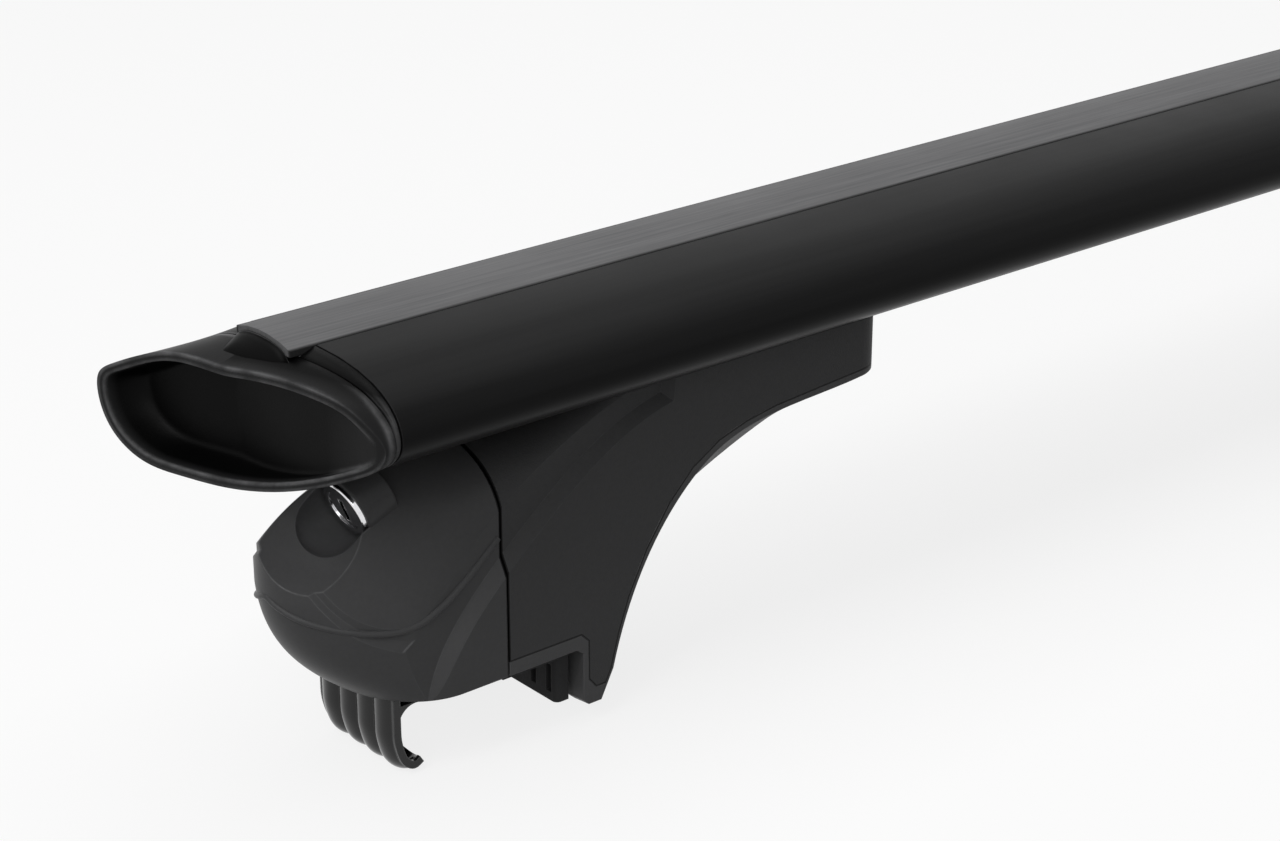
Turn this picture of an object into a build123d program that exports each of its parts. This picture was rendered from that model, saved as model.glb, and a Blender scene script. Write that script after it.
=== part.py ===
from build123d import *
from math import cos, hypot, pi, radians, sin
import os

os.makedirs("parts", exist_ok=True)

# Frame: X runs along the bar, Y across it, Z up from the ground under the claws.
# Each end is modelled with X measured inwards from the bar's cut end, then put in place.

# Bar
BAR_LENGTH = 1150.0
BAR_TOP = 105.0
BAR_DEPTH = 33.4
BAR_WALL = 2.2
WEB_WALL = 2.0

# Slots of the bar
TOP_MOUTH = 11.0
TOP_CHANNEL_WIDTH = 20.0
TOP_CHANNEL_HEIGHT = 8.0
TOP_LIP = 3.6
BOTTOM_MOUTH = 9.0
BOTTOM_CHANNEL_WIDTH = 17.0
BOTTOM_CHANNEL_HEIGHT = 6.5
BOTTOM_LIP = 3.2

# Top strip
STRIP_WIDTH = 20.2
STRIP_SEAT = 1.4
STRIP_CROWN = 1.6
STRIP_OVERHANG = 6.4
STRIP_BARB = 1.6
STRIP_FIT = 0.3

# End cap
CAP_GAP = 0.5
CAP_REACH = 14.4
CAP_SWEEP = 0.32
CAP_RIM = 2.0
CAP_DISH = 8.6
CAP_FLOOR = 1.6
DISH_STEPS = ((0.3, 0.25), (0.7, 0.95), (1.0, 2.2))
CAP_TONGUE = 22.0
TONGUE_SPREAD = 31.0
TONGUE_FIT = 0.4
COLLAR_REACH = 5.8
COLLAR_SWEEP = 0.12
PARTING = 0.3

# Foot as a whole
FOOT_WALL = 2.5
FOOT_HALF = 22.4
FLANK_STEP = 2.2
CREASE_WIDTH = 3.0
SEAM = 38.4
SEAM_GAP = 0.5
FOOT_END = 152.3
TOE_CORNER = 7.0
BASE_BOTTOM = 20.4
SOLE_TOP = 24.0
BAR_CLEAR = 0.35
COVER_CLEAR = 0.6

# Nose of the cover
NOSE_CENTRE = 26.0
NOSE_TOP_REACH = 35.4
NOSE_BOTTOM_REACH = 19.0
NOSE_RISE = 26.6
RIDGE_STEP = 0.9
RIDGE_DROP = 1.3
SCOOP_CENTRE = (-12.0, -15.4, 73.1)
SCOOP_RADIUS = 25.0

# Lock
LOCK_X = 9.7
LOCK_Y = -4.0
LOCK_Z = 63.6
LOCK_RADIUS = 4.8
LOCK_WALL = 1.3
LOCK_RIM = 0.7
LOCK_LENGTH = 5.0
LOCK_TILT = 22.0
LOCK_MOUTH = 6.0
LOCK_ROUND = 0.5
LOCK_FIT = 0.05
LOCK_BOSS = 2.0
KEYWAY = 1.5
CAM_LENGTH = 5.7
CAM_WIDTH = 3.4
CAM_THICK = 1.6

# Clamp
CLAW_X = 13.4
CLAW_SHEET = 1.8
CLAW_WIDTH = 29.2
CLAW_TONGUE_WIDTH = 17.6
CLAW_RIB = 1.3
CLAW_RIB_COUNT = 4
CLAW_EDGE = 1.0
FLARE_REACH = 4.6
FLARE_EDGE = 0.4
CLAW_TOP = 46.5
CLAW_TRAVEL = 10.0
TONGUE_LENGTH = 22.0
SLIDE_FIT = 0.3
BOLT_Z = 34.0
BOLT_RADIUS = 4.0
BOLT_LENGTH = 46.0
BOLT_FIT = 0.06
HEAD_RADIUS = 6.5
HEAD_LENGTH = 8.0
HEX_KEY = 6.0
WASHER_RADIUS = 8.5
WASHER_THICK = 1.6
NUT_RADIUS = 7.0
NUT_X = 46.0

# Rail seat and stop
PAD_HALF = 19.6
PAD_NOSE_HALF = 16.5
PAD_THICK = 2.2
STOP_FRONT = 53.6
STOP_THICK = 3.6
STOP_BOTTOM = 7.1
STOP_CORNER = 1.4
LEG_GAP = 2.0
LEG_BOTTOM = 5.3
POCKET_COUNT = 7
POCKET_PITCH = 5.6
POCKET_WIDTH = 1.9
POCKET_HEIGHT = 7.0
POCKET_DEPTH = 2.2
POCKET_FLOOR = 2.2

# Fixing to the bar
SCREW_PLACES = (78.0, 100.0)
SCREW_RADIUS = 3.0
SCREW_HEAD_RADIUS = 5.0
SCREW_HEAD_LENGTH = 5.0
SCREW_KEY = 5.0
SCREW_FIT = 0.2
PLATE_THICK = 4.5
PLATE_MARGIN = 10.0
PLATE_FIT = 0.4
ROOF_THICK = 3.4

# Heights and places that follow from the sizes above
BAR_BOTTOM = BAR_TOP - BAR_DEPTH
CHANNEL_FLOOR = BAR_BOTTOM + BOTTOM_LIP
TOP_CHANNEL_ROOF = BAR_TOP - STRIP_SEAT - TOP_LIP
STOP_BACK = STOP_FRONT + STOP_THICK
LEG_FRONT = STOP_BACK + LEG_GAP
SHELL_HALF = FOOT_HALF - FLANK_STEP
CAVITY_HALF = SHELL_HALF - FOOT_WALL
CORE_HALF = CAVITY_HALF - COVER_CLEAR
TUNNEL_HALF = CORE_HALF - FOOT_WALL
HOUSING_FRONT = SEAM + SEAM_GAP / 2
COVER_BACK = SEAM - SEAM_GAP / 2
CLAW_OUTER = CLAW_X - CLAW_SHEET / 2
CLAW_INNER = CLAW_X + CLAW_SHEET / 2
CORE_FRONT = CLAW_INNER + CLAW_TRAVEL + 1.0
TUNNEL_FLOOR = SOLE_TOP + FOOT_WALL
TUNNEL_ROOF = CLAW_TOP + SLIDE_FIT
LOCK_OUTER = LOCK_RADIUS + LOCK_WALL
CORE_ATTIC = 30.0
WIDE = 60.0

# Wing section of the bar from its top centre round by the thin near edge: Y, and Z from the top
WING = (
    (0.0, 0.0), (-12.0, 0.0), (-24.0, -0.8), (-33.0, -3.4), (-38.6, -7.8), (-40.0, -12.9),
    (-37.4, -17.2), (-31.0, -20.9), (-20.0, -26.4), (-8.0, -31.3), (6.0, -34.0), (18.0, -34.2),
    (29.0, -31.8), (36.8, -27.2), (40.0, -20.6), (37.8, -15.6), (31.0, -11.0), (21.5, -5.8),
    (13.4, -1.4), (7.0, 0.0),
)

# Outline of the end cap's rim, from its top centre the same way round
RIM = (
    (0.0, -4.7), (-12.0, -4.2), (-21.0, -5.0), (-28.2, -6.8), (-34.6, -10.8), (-37.4, -14.2),
    (-35.8, -18.2), (-31.0, -21.6), (-20.0, -26.6), (-8.0, -30.4), (5.0, -32.3), (15.0, -32.4),
    (25.5, -31.2), (32.6, -26.4), (36.0, -18.4), (35.4, -13.4), (31.4, -10.4), (24.0, -7.0),
    (16.0, -4.6), (8.0, -4.4),
)

# Arches over the foot: X of the arch, then its height at each share of the half width
ARCH_SHARES = (0.0, 0.32, 0.54, 0.725, 0.882, 1.0)
ARCHES = (
    (-16.0, (49.6, 46.2, 40.8, 33.4, 24.5, 16.0)),
    (14.0, (70.6, 67.2, 61.8, 54.6, 46.0, 37.4)),
    (SEAM, (73.0, 71.4, 69.8, 67.6, 64.4, 52.6)),
    (74.0, (84.0, 84.0, 83.6, 83.0, 81.5, 77.0)),
)
ARCH_HALF = SHELL_HALF + 0.2

# The crease up the foot's side: below and behind it the wall stands out by FLANK_STEP
CREASE = ((17.6, 18.0), (20.6, 28.6), (27.0, 38.0), (36.8, 47.8), (49.0, 58.0), (62.0, 67.2), (84.0, 76.0))

# Centre line of the claw's curl in side view
CLAW_CURL = ((13.4, 11.0), (14.1, 6.6), (15.9, 3.15), (17.8, 2.2), (19.6, 3.05))

# Lower edges in side view: the housing, then the base at its middle and at its sides
HOUSING_SWOOP = ((67.4, 12.6), (72.8, 29.3), (85.0, 49.2), (100.0, 60.6), (117.6, 64.6), (149.1, 66.8))
BASE_SWOOP = ((68.4, 12.6), (74.5, 31.7), (88.0, 46.0), (103.0, 53.6), (122.0, 60.2), (149.7, 65.2))
SLIM_SWOOP = ((68.2, 12.6), (73.9, 28.9), (86.2, 47.8), (101.0, 59.0), (118.2, 63.0), (149.5, 65.5))
HOLLOW_SWOOP = ((69.4, 26.5), (71.4, 32.0), (83.0, 51.2), (99.0, 63.2), (112.0, 66.6))


def block(x0, x1, y0, y1, z0, z1):
    """Box between two corners."""
    return Pos((x0 + x1) / 2, (y0 + y1) / 2, (z0 + z1) / 2) * Box(x1 - x0, y1 - y0, z1 - z0)


def rod(x0, x1, z, radius, y=0.0):
    """Cylinder along X."""
    return Pos((x0 + x1) / 2, y, z) * Rot(0, 90, 0) * Cylinder(radius, x1 - x0)


def cross_rod(x, z, y0, y1, radius):
    """Cylinder along Y."""
    return Pos(x, (y0 + y1) / 2, z) * Rot(90, 0, 0) * Cylinder(radius, y1 - y0)


def upright(x, z0, z1, radius, y=0.0):
    """Cylinder along Z."""
    return Pos(x, y, (z0 + z1) / 2) * Cylinder(radius, z1 - z0)


def flat_face(points):
    """Face with straight edges through points in one plane."""
    return make_face(Polyline(points, close=True))


def along_x(face, length):
    """Prism of a face that lies across X, towards +X."""
    return extrude(face, amount=length, dir=(1, 0, 0))


def across(face, half):
    """Prism of an XZ face to both sides."""
    return extrude(face, amount=half, dir=(0, 1, 0), both=True)


def outline_face(outline, x=0.0, sweep=0.0, inset=0.0):
    """Face inside a closed section moved inwards by the inset. With a sweep, X falls as Y grows."""
    count = len(outline)
    points = []
    for i, (y, z) in enumerate(outline):
        before = outline[i - 1]
        after = outline[(i + 1) % count]
        run_y = after[0] - before[0]
        run_z = after[1] - before[1]
        size = hypot(run_y, run_z)
        moved_y = y - run_z / size * inset
        points.append(Vector(x - sweep * moved_y, moved_y, BAR_TOP + z + run_y / size * inset))
    return Face(Wire([Edge.make_spline(points, periodic=True)]))


def wing_face(x=0.0, inset=0.0):
    """The bar's section as a face."""
    return outline_face(WING, x, 0.0, inset)


def rim_face(x=0.0, inset=0.0):
    """The cap's slanted rim outline as a face."""
    return outline_face(RIM, x, CAP_SWEEP, inset)


def bar_envelope(clear):
    """Room that the bar and its cap take over a foot, with a clearance round them."""
    return along_x(wing_face(x=-WIDE, inset=-clear), WIDE + 2 * FOOT_END)


def bar_pockets(x0, x1, margin=0.0):
    """The bar's closed hollows on the near and the far side of the slots."""
    inner = along_x(wing_face(x=x0, inset=BAR_WALL + margin), x1 - x0)
    wall = TOP_CHANNEL_WIDTH / 2 + WEB_WALL + margin
    near = inner & block(x0, x1, -WIDE, -wall, 0, 2 * BAR_TOP)
    far = inner & block(x0, x1, wall, WIDE, 0, 2 * BAR_TOP)
    return near, far


def build_bar():
    """Extrusion with its two slots, a duct between them and a hollow on each side."""
    bar = along_x(wing_face(), BAR_LENGTH)
    for pocket in bar_pockets(0, BAR_LENGTH):
        bar -= pocket
    top_floor = TOP_CHANNEL_ROOF - TOP_CHANNEL_HEIGHT
    low_roof = CHANNEL_FLOOR + BOTTOM_CHANNEL_HEIGHT
    voids = (
        (STRIP_WIDTH + 2 * STRIP_FIT, BAR_TOP - STRIP_SEAT, BAR_TOP + 5),
        (TOP_MOUTH, TOP_CHANNEL_ROOF - 1, BAR_TOP),
        (TOP_CHANNEL_WIDTH, top_floor, TOP_CHANNEL_ROOF),
        (TOP_CHANNEL_WIDTH, low_roof + WEB_WALL, top_floor - WEB_WALL),
        (BOTTOM_CHANNEL_WIDTH, CHANNEL_FLOOR, low_roof),
        (BOTTOM_MOUTH, BAR_BOTTOM - 5, CHANNEL_FLOOR + 1),
    )
    for width, low, high in voids:
        bar -= block(0, BAR_LENGTH, -width / 2, width / 2, low, high)
    return bar


def build_strip():
    """Crowned strip that fills the top slot, barbed under the slot's mouth."""
    half = STRIP_WIDTH / 2
    seat = BAR_TOP - STRIP_SEAT
    x0 = -STRIP_OVERHANG
    outline = [
        Polyline([(x0, -half, BAR_TOP), (x0, -half, seat), (x0, half, seat), (x0, half, BAR_TOP)]),
        ThreePointArc((x0, half, BAR_TOP), (x0, 0, BAR_TOP + STRIP_CROWN), (x0, -half, BAR_TOP)),
    ]
    strip = along_x(make_face(outline), BAR_LENGTH + 2 * STRIP_OVERHANG)
    stem = TOP_MOUTH / 2 - STRIP_FIT
    barb_top = TOP_CHANNEL_ROOF - STRIP_FIT
    profile = [(0, -stem, seat), (0, -stem, barb_top), (0, -stem - STRIP_BARB, barb_top)]
    profile += [(0, -stem + 1, barb_top - 2), (0, stem - 1, barb_top - 2)]
    profile += [(0, stem + STRIP_BARB, barb_top), (0, stem, barb_top), (0, stem, seat)]
    return strip + along_x(flat_face(profile), BAR_LENGTH)


def slant_slab(x, sweep):
    """Slab inwards from the plane at X, which is slanted by the sweep."""
    slant = sweep * WIDE
    back = x + 2 * WIDE
    corners = [(x + slant, -WIDE, 0), (x - slant, WIDE, 0), (back, WIDE, 0), (back, -WIDE, 0)]
    return extrude(flat_face(corners), amount=2 * BAR_TOP, dir=(0, 0, 1))


def build_cap():
    """Swept cap with a dished mouth and two tongues into the bar, and the collar behind it."""
    blank = loft([wing_face(-CAP_GAP, 0.05), rim_face(-CAP_REACH)])
    half = STRIP_WIDTH / 2 + STRIP_FIT
    seat = BAR_TOP - STRIP_SEAT - 0.1
    blank -= block(-STRIP_OVERHANG - 0.4, 5, -half, half, seat, BAR_TOP + 9)
    cap = blank - slant_slab(-COLLAR_REACH, COLLAR_SWEEP)
    collar = blank & slant_slab(-COLLAR_REACH + PARTING, COLLAR_SWEEP)
    steps = [rim_face(-CAP_REACH - 0.4, CAP_RIM - 0.2)]
    steps += [rim_face(-CAP_REACH + share * CAP_DISH, CAP_RIM + narrow) for share, narrow in DISH_STEPS]
    cap -= loft(steps) - slant_slab(-COLLAR_REACH - CAP_FLOOR, COLLAR_SWEEP)
    for pocket in bar_pockets(-COLLAR_REACH - 6, CAP_TONGUE, TONGUE_FIT):
        tongue = pocket & block(-WIDE, CAP_TONGUE, -TONGUE_SPREAD, TONGUE_SPREAD, 0, BAR_TOP)
        box = tongue.bounding_box()
        y0 = box.min.Y + FOOT_WALL
        y1 = box.max.Y - FOOT_WALL
        tongue -= block(2, CAP_TONGUE + 1, y0, y1, box.min.Z + 9, box.max.Z - 5)
        cap += tongue & slant_slab(-COLLAR_REACH - 0.2, COLLAR_SWEEP)
    for pocket in bar_pockets(-COLLAR_REACH - 6, CAP_TONGUE, TONGUE_FIT - 0.1):
        spread = TONGUE_SPREAD + 0.1
        collar -= pocket & block(-WIDE, CAP_TONGUE, -spread, spread, 0, BAR_TOP)
    return cap, collar


def arch_section(x, heights, inset):
    """Foot section at X: a curved arch on top, then a ledge out beyond the side walls."""
    half = ARCH_HALF - inset
    right = [(x, half * share, z - inset) for share, z in zip(ARCH_SHARES, heights)]
    left = [(px, -py, pz) for px, py, pz in right[:0:-1]]
    crown = Spline([Vector(*p) for p in left + right])
    edge_z = right[-1][2]
    ledge = ARCH_HALF + 8.0
    ends = Polyline(
        [right[-1], (x, ledge, edge_z), (x, ledge, -WIDE), (x, -ledge, -WIDE), (x, -ledge, edge_z), left[0]]
    )
    return make_face(crown.edges() + ends.edges())


def arch_body(inset=0.0):
    """Everything below the foot's arched top, from the nose to where the bar's underside takes over."""
    return loft([arch_section(x, heights, inset) for x, heights in ARCHES])


def nose_plan(z, tip, half):
    """Plan outline of the cover: half an ellipse for the nose, and straight sides."""
    reach = NOSE_CENTRE - tip
    back = SEAM + 30.0
    curve = Pos(NOSE_CENTRE, 0, z) * EllipticalCenterArc((0, 0), reach, half, start_angle=90, arc_size=180)
    sides = Polyline([(NOSE_CENTRE, -half, z), (back, -half, z), (back, half, z), (NOSE_CENTRE, half, z)])
    return make_face(curve.edges() + sides.edges())


def nose_body(inset=0.0, below=0.0):
    """Walls of the cover: upright round the top, tucked in towards the bottom of the nose."""
    tip_top = NOSE_CENTRE - NOSE_TOP_REACH + inset
    tip_low = NOSE_CENTRE - NOSE_BOTTOM_REACH + inset
    plans = []
    for share in (0.0, 0.2, 0.5, 1.0):
        tip = tip_low + (tip_top - tip_low) * sin(share * pi / 2) ** 0.8
        plans.append(nose_plan(BASE_BOTTOM + share * NOSE_RISE, tip, FOOT_HALF - inset))
    walls = loft(plans) + extrude(plans[-1], amount=45, dir=(0, 0, 1))
    if below:
        walls += extrude(plans[0], amount=below, dir=(0, 0, -1))
    return walls


def flank_cut():
    """Recess above the crease on both sides, with a sloped band where it meets the proud wall."""
    over = 0.6
    shift = CREASE_WIDTH * cos(radians(45)) * (FLANK_STEP + over) / FLANK_STEP
    corners = [(90, 130), (-40, 130), (-40, CREASE[0][1])]
    cuts = []
    for side in (-1, 1):
        faces = []
        for half, move in ((SHELL_HALF, 0), (FOOT_HALF + over, shift)):
            crease = [Vector(x + move, side * half, z - move) for x, z in CREASE]
            rest = [Vector(x + move, side * half, z - move) for x, z in corners]
            ends = Polyline([crease[-1]] + rest + [crease[0]])
            faces.append(make_face(Spline(crease).edges() + ends.edges()))
        cuts.append(loft(faces, ruled=True))
    return cuts


def at_lock(piece):
    """Puts a piece that lies along X from the origin on the lock's tilted axis."""
    return Pos(LOCK_X, LOCK_Y, LOCK_Z) * Rot(0, -LOCK_TILT, 0) * piece


def scoop(grow=0.0):
    """Shallow dish in the nose's top."""
    return Pos(*SCOOP_CENTRE) * Sphere(SCOOP_RADIUS + grow)


def lock_mouth(grow=0.0):
    """Round mouth in front of the lock, with a rounded end."""
    radius = LOCK_OUTER + LOCK_RIM + LOCK_ROUND + grow
    return at_lock(rod(-LOCK_MOUTH, 0, 0, radius)), at_lock(Pos(-LOCK_MOUTH, 0, 0) * Sphere(radius))


def build_cover():
    """Nose shell with its ridge, its scoop, its lock boss and an open back and bottom."""
    blank = nose_body(RIDGE_STEP) & arch_body()
    blank += nose_body() & Pos(0, 0, -RIDGE_DROP) * arch_body(RIDGE_STEP / 2)
    for cut in flank_cut():
        blank -= cut
    blank -= bar_envelope(BAR_CLEAR)
    blank -= scoop()
    for room in lock_mouth():
        blank -= room
    blank -= block(COVER_BACK, 4 * WIDE, -WIDE, WIDE, -10, 2 * BAR_TOP)
    hollow = nose_body(FOOT_WALL + RIDGE_STEP, 10.0) & arch_body(FOOT_WALL + 0.4)
    hollow &= block(-WIDE, 4 * WIDE, -CAVITY_HALF, CAVITY_HALF, 0, 2 * BAR_TOP)
    hollow -= bar_envelope(FOOT_WALL + BAR_CLEAR)
    hollow -= scoop(FOOT_WALL)
    for room in lock_mouth(FOOT_WALL):
        hollow -= room
    hollow -= at_lock(rod(-LOCK_MOUTH, LOCK_LENGTH - 1, 0, LOCK_OUTER + LOCK_BOSS))
    bore = rod(-LOCK_MOUTH, LOCK_LENGTH + 2 * CAM_THICK, 0, LOCK_OUTER + LOCK_FIT)
    return blank - hollow - at_lock(bore)


def build_lock():
    """Barrel with its rim, the keyed plug that turns in it, and the short lever behind."""
    barrel = rod(0, LOCK_LENGTH, 0, LOCK_OUTER) + rod(-1.2, 0, 0, LOCK_OUTER + LOCK_RIM)
    barrel = chamfer(barrel.faces().sort_by(Axis.X)[0].edges(), 0.3)
    barrel -= rod(-3, LOCK_LENGTH + 1, 0, LOCK_RADIUS + LOCK_FIT)
    plug = rod(-0.9, LOCK_LENGTH + PARTING, 0, LOCK_RADIUS)
    plug -= block(-3, LOCK_LENGTH - 1, -KEYWAY / 2, KEYWAY / 2, -3.4, 2.6)
    behind = LOCK_LENGTH + PARTING
    cam = rod(behind, behind + CAM_THICK, 0, LOCK_RADIUS)
    cam += block(behind, behind + CAM_THICK, -CAM_WIDTH / 2, CAM_WIDTH / 2, -CAM_LENGTH, 0)
    return at_lock(barrel), at_lock(plug), at_lock(cam)


def toe_corners():
    """What the two rounded corners leave off the foot's inner end."""
    x = FOOT_END - TOE_CORNER
    y = FOOT_HALF - TOE_CORNER
    off = block(x, FOOT_END + 1, -WIDE, WIDE, 0, 2 * BAR_TOP) - block(x, FOOT_END, -y, y, 0, 2 * BAR_TOP)
    for side in (-1, 1):
        off -= upright(x, 0, 2 * BAR_TOP, TOE_CORNER, side * y)
    return off


def housing_face():
    """Side outline of the moulded housing, down its leg and up the swoop."""
    top = BAR_TOP - 20.0
    leg = LEG_FRONT + 1.9
    low = HOUSING_SWOOP[0][1] - 3.0
    heel_x, heel_z = HOUSING_SWOOP[0]
    toe_x, toe_z = HOUSING_SWOOP[-1]
    sole = [(FOOT_END, 0, toe_z + 3), (FOOT_END, 0, top), (HOUSING_FRONT, 0, top)]
    sole += [(HOUSING_FRONT, 0, SOLE_TOP), (leg - 2.2, 0, SOLE_TOP), (leg, 0, SOLE_TOP - 2.2), (leg, 0, low + 2.4), (leg + 2, 0, low)]
    sole += [(heel_x - 1.6, 0, low), (heel_x, 0, heel_z)]
    swoop = Spline([Vector(x, 0, z) for x, z in HOUSING_SWOOP])
    toe = Line((toe_x, 0, toe_z), (FOOT_END, 0, toe_z + 3))
    return make_face(Polyline(sole).edges() + swoop.edges() + toe.edges())


def base_face(swoop, y, lift):
    """Side outline of the base: the sole, the leg's shoe and the band up the swoop."""
    top = HOUSING_SWOOP[-1][1] + 0.8
    heel_x, heel_z = swoop[0]
    toe_x, toe_z = swoop[-1]
    front = LEG_FRONT + lift
    low = LEG_BOTTOM + lift
    sole = [(FOOT_END, y, toe_z + 3), (FOOT_END, y, top + 4), (HOUSING_FRONT, y, top + 4)]
    sole += [(HOUSING_FRONT, y, BASE_BOTTOM), (STOP_BACK + 0.4, y, BASE_BOTTOM)]
    sole.append((front, y, BASE_BOTTOM - 1.4))
    sole += [(front, y, low + 1.4), (front + 1.4, y, low), (heel_x - 3.6, y, low), (heel_x, y, heel_z)]
    curve = Spline([Vector(x, y, z) for x, z in swoop])
    toe = Line((toe_x, y, toe_z), (FOOT_END, y, toe_z + 3))
    return make_face(Polyline(sole).edges() + curve.edges() + toe.edges())


def build_base():
    """Base with its shoe on the leg. Its lower edge is bevelled up to the band on each side."""
    flat = FOOT_HALF - 4.9
    base = across(base_face(BASE_SWOOP, 0.0, 0.0), flat)
    for side in (-1, 1):
        wide = base_face(BASE_SWOOP, side * flat, 0.0)
        slim = base_face(SLIM_SWOOP, side * FOOT_HALF, 0.3)
        base += loft([wide, slim], ruled=True)
    base -= toe_corners()
    base -= across(housing_face(), WIDE)
    for x in SCREW_PLACES:
        base -= upright(x, BASE_BOTTOM, BAR_TOP, SCREW_HEAD_RADIUS + SCREW_FIT)
    return base


def core():
    """Inner carrier that reaches forward under the cover, over the rail, open towards the claw."""
    inset = FOOT_WALL + RIDGE_STEP + COVER_CLEAR
    back = HOUSING_FRONT + 14
    low = block(CORE_FRONT, HOUSING_FRONT, -CORE_HALF, CORE_HALF, BASE_BOTTOM, TUNNEL_ROOF + FOOT_WALL)
    high = block(CORE_ATTIC, HOUSING_FRONT, -CORE_HALF, CORE_HALF, CLAW_TOP, BAR_TOP)
    front = (low + high) & nose_body(inset, 1.0) & arch_body(inset)
    front -= bar_envelope(FOOT_WALL + BAR_CLEAR + COVER_CLEAR)
    root_half = CAVITY_HALF + 0.5
    root = block(HOUSING_FRONT - 0.1, back, -root_half, root_half, SOLE_TOP, BAR_TOP)
    root &= arch_body(FOOT_WALL - 0.5)
    return front + root


def build_housing():
    """Moulded housing: shell behind the seam, inner carrier, ribs, roof and nut saddles."""
    outline = across(housing_face(), FOOT_HALF) - toe_corners()
    shell = outline - (block(-WIDE, ARCHES[-1][0], -WIDE, WIDE, 0, 2 * BAR_TOP) - arch_body())
    for cut in flank_cut():
        shell -= cut
    start_x, start_z = HOLLOW_SWOOP[0]
    end_x = HOLLOW_SWOOP[-1][0]
    ceiling = [(end_x, 0, HOLLOW_SWOOP[-1][1]), (end_x, 0, BAR_TOP), (0, 0, BAR_TOP)]
    rim = Polyline(ceiling + [(0, 0, start_z), (start_x, 0, start_z)])
    swoop = Spline([Vector(x, 0, z) for x, z in HOLLOW_SWOOP])
    hollow = across(make_face(rim.edges() + swoop.edges()), CAVITY_HALF)
    hollow -= block(-WIDE, ARCHES[-1][0], -WIDE, WIDE, 0, 2 * BAR_TOP) - arch_body(FOOT_WALL)
    hollow -= bar_envelope(ROOF_THICK + BAR_CLEAR)
    housing = shell - hollow + core()
    tunnel = block(0, SEAM + 16, -TUNNEL_HALF, TUNNEL_HALF, TUNNEL_FLOOR, TUNNEL_ROOF)
    housing -= tunnel
    attic_half = TUNNEL_HALF - 3
    attic_floor = TUNNEL_ROOF + FOOT_WALL
    attic = block(CORE_ATTIC + FOOT_WALL, SEAM + 16, -attic_half, attic_half, attic_floor, BAR_BOTTOM)
    housing -= attic & arch_body(2 * FOOT_WALL) - bar_envelope(ROOF_THICK + BAR_CLEAR)
    housing -= bar_envelope(BAR_CLEAR)
    rib_x = sum(SCREW_PLACES) / 2
    housing += hollow & block(rib_x - 1.1, rib_x + 1.1, -WIDE, WIDE, 0, 2 * BAR_TOP)
    for side in (-1, 1):
        y0, y1 = sorted((side * 9.5, side * (TUNNEL_HALF + 0.1)))
        saddle = block(NUT_X - 8.5, NUT_X + 8.5, y0, y1, TUNNEL_FLOOR - 0.1, BOLT_Z + NUT_RADIUS + 2)
        shelf_top = CLAW_TOP - CLAW_SHEET - SLIDE_FIT
        shelf = block(CORE_FRONT, SEAM + 10, y0, y1, BOLT_Z + NUT_RADIUS + 1, shelf_top)
        housing += saddle + shelf
    housing -= cross_rod(NUT_X, BOLT_Z, -TUNNEL_HALF + 0.6, TUNNEL_HALF - 0.6, NUT_RADIUS + 0.05)
    for x in SCREW_PLACES:
        housing -= upright(x, BASE_BOTTOM, BAR_TOP, SCREW_RADIUS + SCREW_FIT)
        roof = BAR_BOTTOM - BAR_CLEAR - ROOF_THICK
        housing -= upright(x, BASE_BOTTOM, roof - 0.2, SCREW_HEAD_RADIUS + SCREW_FIT)
    return housing


def build_pad():
    """Rail seat under the foot, with the pocketed stop block that hangs down behind the rail."""
    top = BASE_BOTTOM
    low = top - PAD_THICK
    pad = block(HOUSING_FRONT, STOP_BACK, -PAD_HALF, PAD_HALF, low, top)
    pad += block(CORE_FRONT, HOUSING_FRONT, -PAD_NOSE_HALF, PAD_NOSE_HALF, low, top)
    pad += block(STOP_FRONT, STOP_BACK, -PAD_HALF, PAD_HALF, STOP_BOTTOM, top)
    front_edges = pad.edges().filter_by(Axis.Z).filter_by(lambda e: abs(e.center().X - STOP_FRONT) < 0.1)
    pad = fillet(front_edges, STOP_CORNER)
    span = POCKET_PITCH * (POCKET_COUNT - 1)
    floor = STOP_BOTTOM + POCKET_FLOOR
    for i in range(POCKET_COUNT):
        y0 = i * POCKET_PITCH - span / 2 - POCKET_WIDTH / 2
        y1 = y0 + POCKET_WIDTH
        pad -= block(STOP_FRONT - 1, STOP_FRONT + POCKET_DEPTH, y0, y1, floor, floor + POCKET_HEIGHT)
    return pad


def claw_section(z):
    """Corrugated section of the claw's sheet: flat edges and rounded ribs between them."""
    half = CLAW_WIDTH / 2
    pitch = (CLAW_WIDTH - 2 * CLAW_EDGE) / CLAW_RIB_COUNT
    edges = []
    for face_x in (CLAW_OUTER, CLAW_INNER):
        start = -half + CLAW_EDGE
        edges += Line((face_x, -half, z), (face_x, start, z)).edges()
        for i in range(CLAW_RIB_COUNT):
            y0 = start + i * pitch
            middle = (face_x - CLAW_RIB, y0 + pitch / 2, z)
            edges += ThreePointArc((face_x, y0, z), middle, (face_x, y0 + pitch, z)).edges()
        edges += Line((face_x, half - CLAW_EDGE, z), (face_x, half, z)).edges()
    for y in (-half, half):
        edges += Line((CLAW_OUTER, y, z), (CLAW_INNER, y, z)).edges()
    return make_face(edges)


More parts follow.
